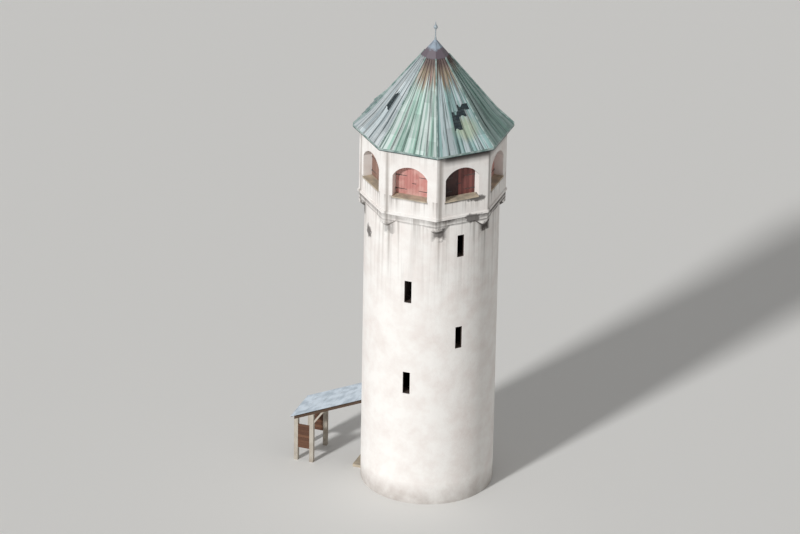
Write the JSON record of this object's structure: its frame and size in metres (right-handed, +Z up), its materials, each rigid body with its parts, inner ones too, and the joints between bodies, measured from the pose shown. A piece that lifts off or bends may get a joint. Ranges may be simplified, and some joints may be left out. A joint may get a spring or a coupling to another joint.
{
  "type": "round fire lookout tower with an octagonal top room",
  "caption": "Round limewashed lookout tower with slit windows, an octagonal shuttered arched belvedere on corner corbels, a bell-cast copper roof with finial, and a timber porch.",
  "frame": {"origin": "centre of the round shaft on the ground, at its lowest point", "axes": "+Z up along the tower's axis, -Y out of the entrance face with its porch, +X towards the face with the two slit windows on the right of the entrance"},
  "size_m": [7.083, 10.2115, 24.0227],
  "materials": {
    "limewashed_render": "hand-floated lime render, limewashed, rough, stained by rain",
    "sandstone": "dressed sandstone, worn",
    "oak_frame": "sawn oak, oiled dark and weathered",
    "plank_door": "planks with old brown stain",
    "floor_boards": "worn bare floor boards",
    "faded_red_boards": "boards with sun-bleached red paint",
    "roof_boards": "boards under dark roofing felt",
    "patinated_copper": "standing-seam copper, green patina with brown rain streaks",
    "lead_sheet": "dull grey lead",
    "wrought_iron": "forged and painted dark",
    "pale_posts": "planed softwood with old white paint",
    "sheet_roofing": "profiled galvanised steel, dulled",
    "brown_boards": "rough boards with brown stain"
  },
  "bodies": {
    "root": {"ground_floor": "sandstone", "door_step": "sandstone", "front_wall_beside_door": "limewashed_render", "front_wall": "limewashed_render", "front_right_wall": "limewashed_render", "right_wall": "limewashed_render", "back_right_wall": "limewashed_render", "back_wall": "limewashed_render", "back_left_wall": "limewashed_render", "left_wall": "limewashed_render", "front_left_wall": "limewashed_render", "slit_jambs": "limewashed_render", "door_frame": "oak_frame", "door_leaf": "plank_door", "corbel_square": "limewashed_render", "corbel_diagonal": "limewashed_render", "room_floor": "floor_boards", "parapet_square": "limewashed_render", "parapet_diagonal": "limewashed_render", "string_course": "limewashed_render", "sills": "sandstone", "corner_piers": "limewashed_render", "arch_heads_square": "limewashed_render", "arch_heads_diagonal": "limewashed_render", "shutters": "faded_red_boards", "wall_plate": "oak_frame", "roof_deck_square": "roof_boards", "roof_deck_diagonal": "roof_boards", "copper_front": "patinated_copper", "copper_front_right": "patinated_copper", "copper_right": "patinated_copper", "copper_back_right": "patinated_copper", "copper_back": "patinated_copper", "copper_back_left": "patinated_copper", "copper_left": "patinated_copper", "copper_front_left": "patinated_copper", "hip_rolls": "patinated_copper", "roof_cap": "lead_sheet", "king_post": "oak_frame", "finial": "wrought_iron", "porch_posts": "pale_posts", "porch_side_beams": "oak_frame", "porch_cross_beams": "oak_frame", "porch_roof": "sheet_roofing", "porch_boarding": "brown_boards"}
  },
  "joints": []
}
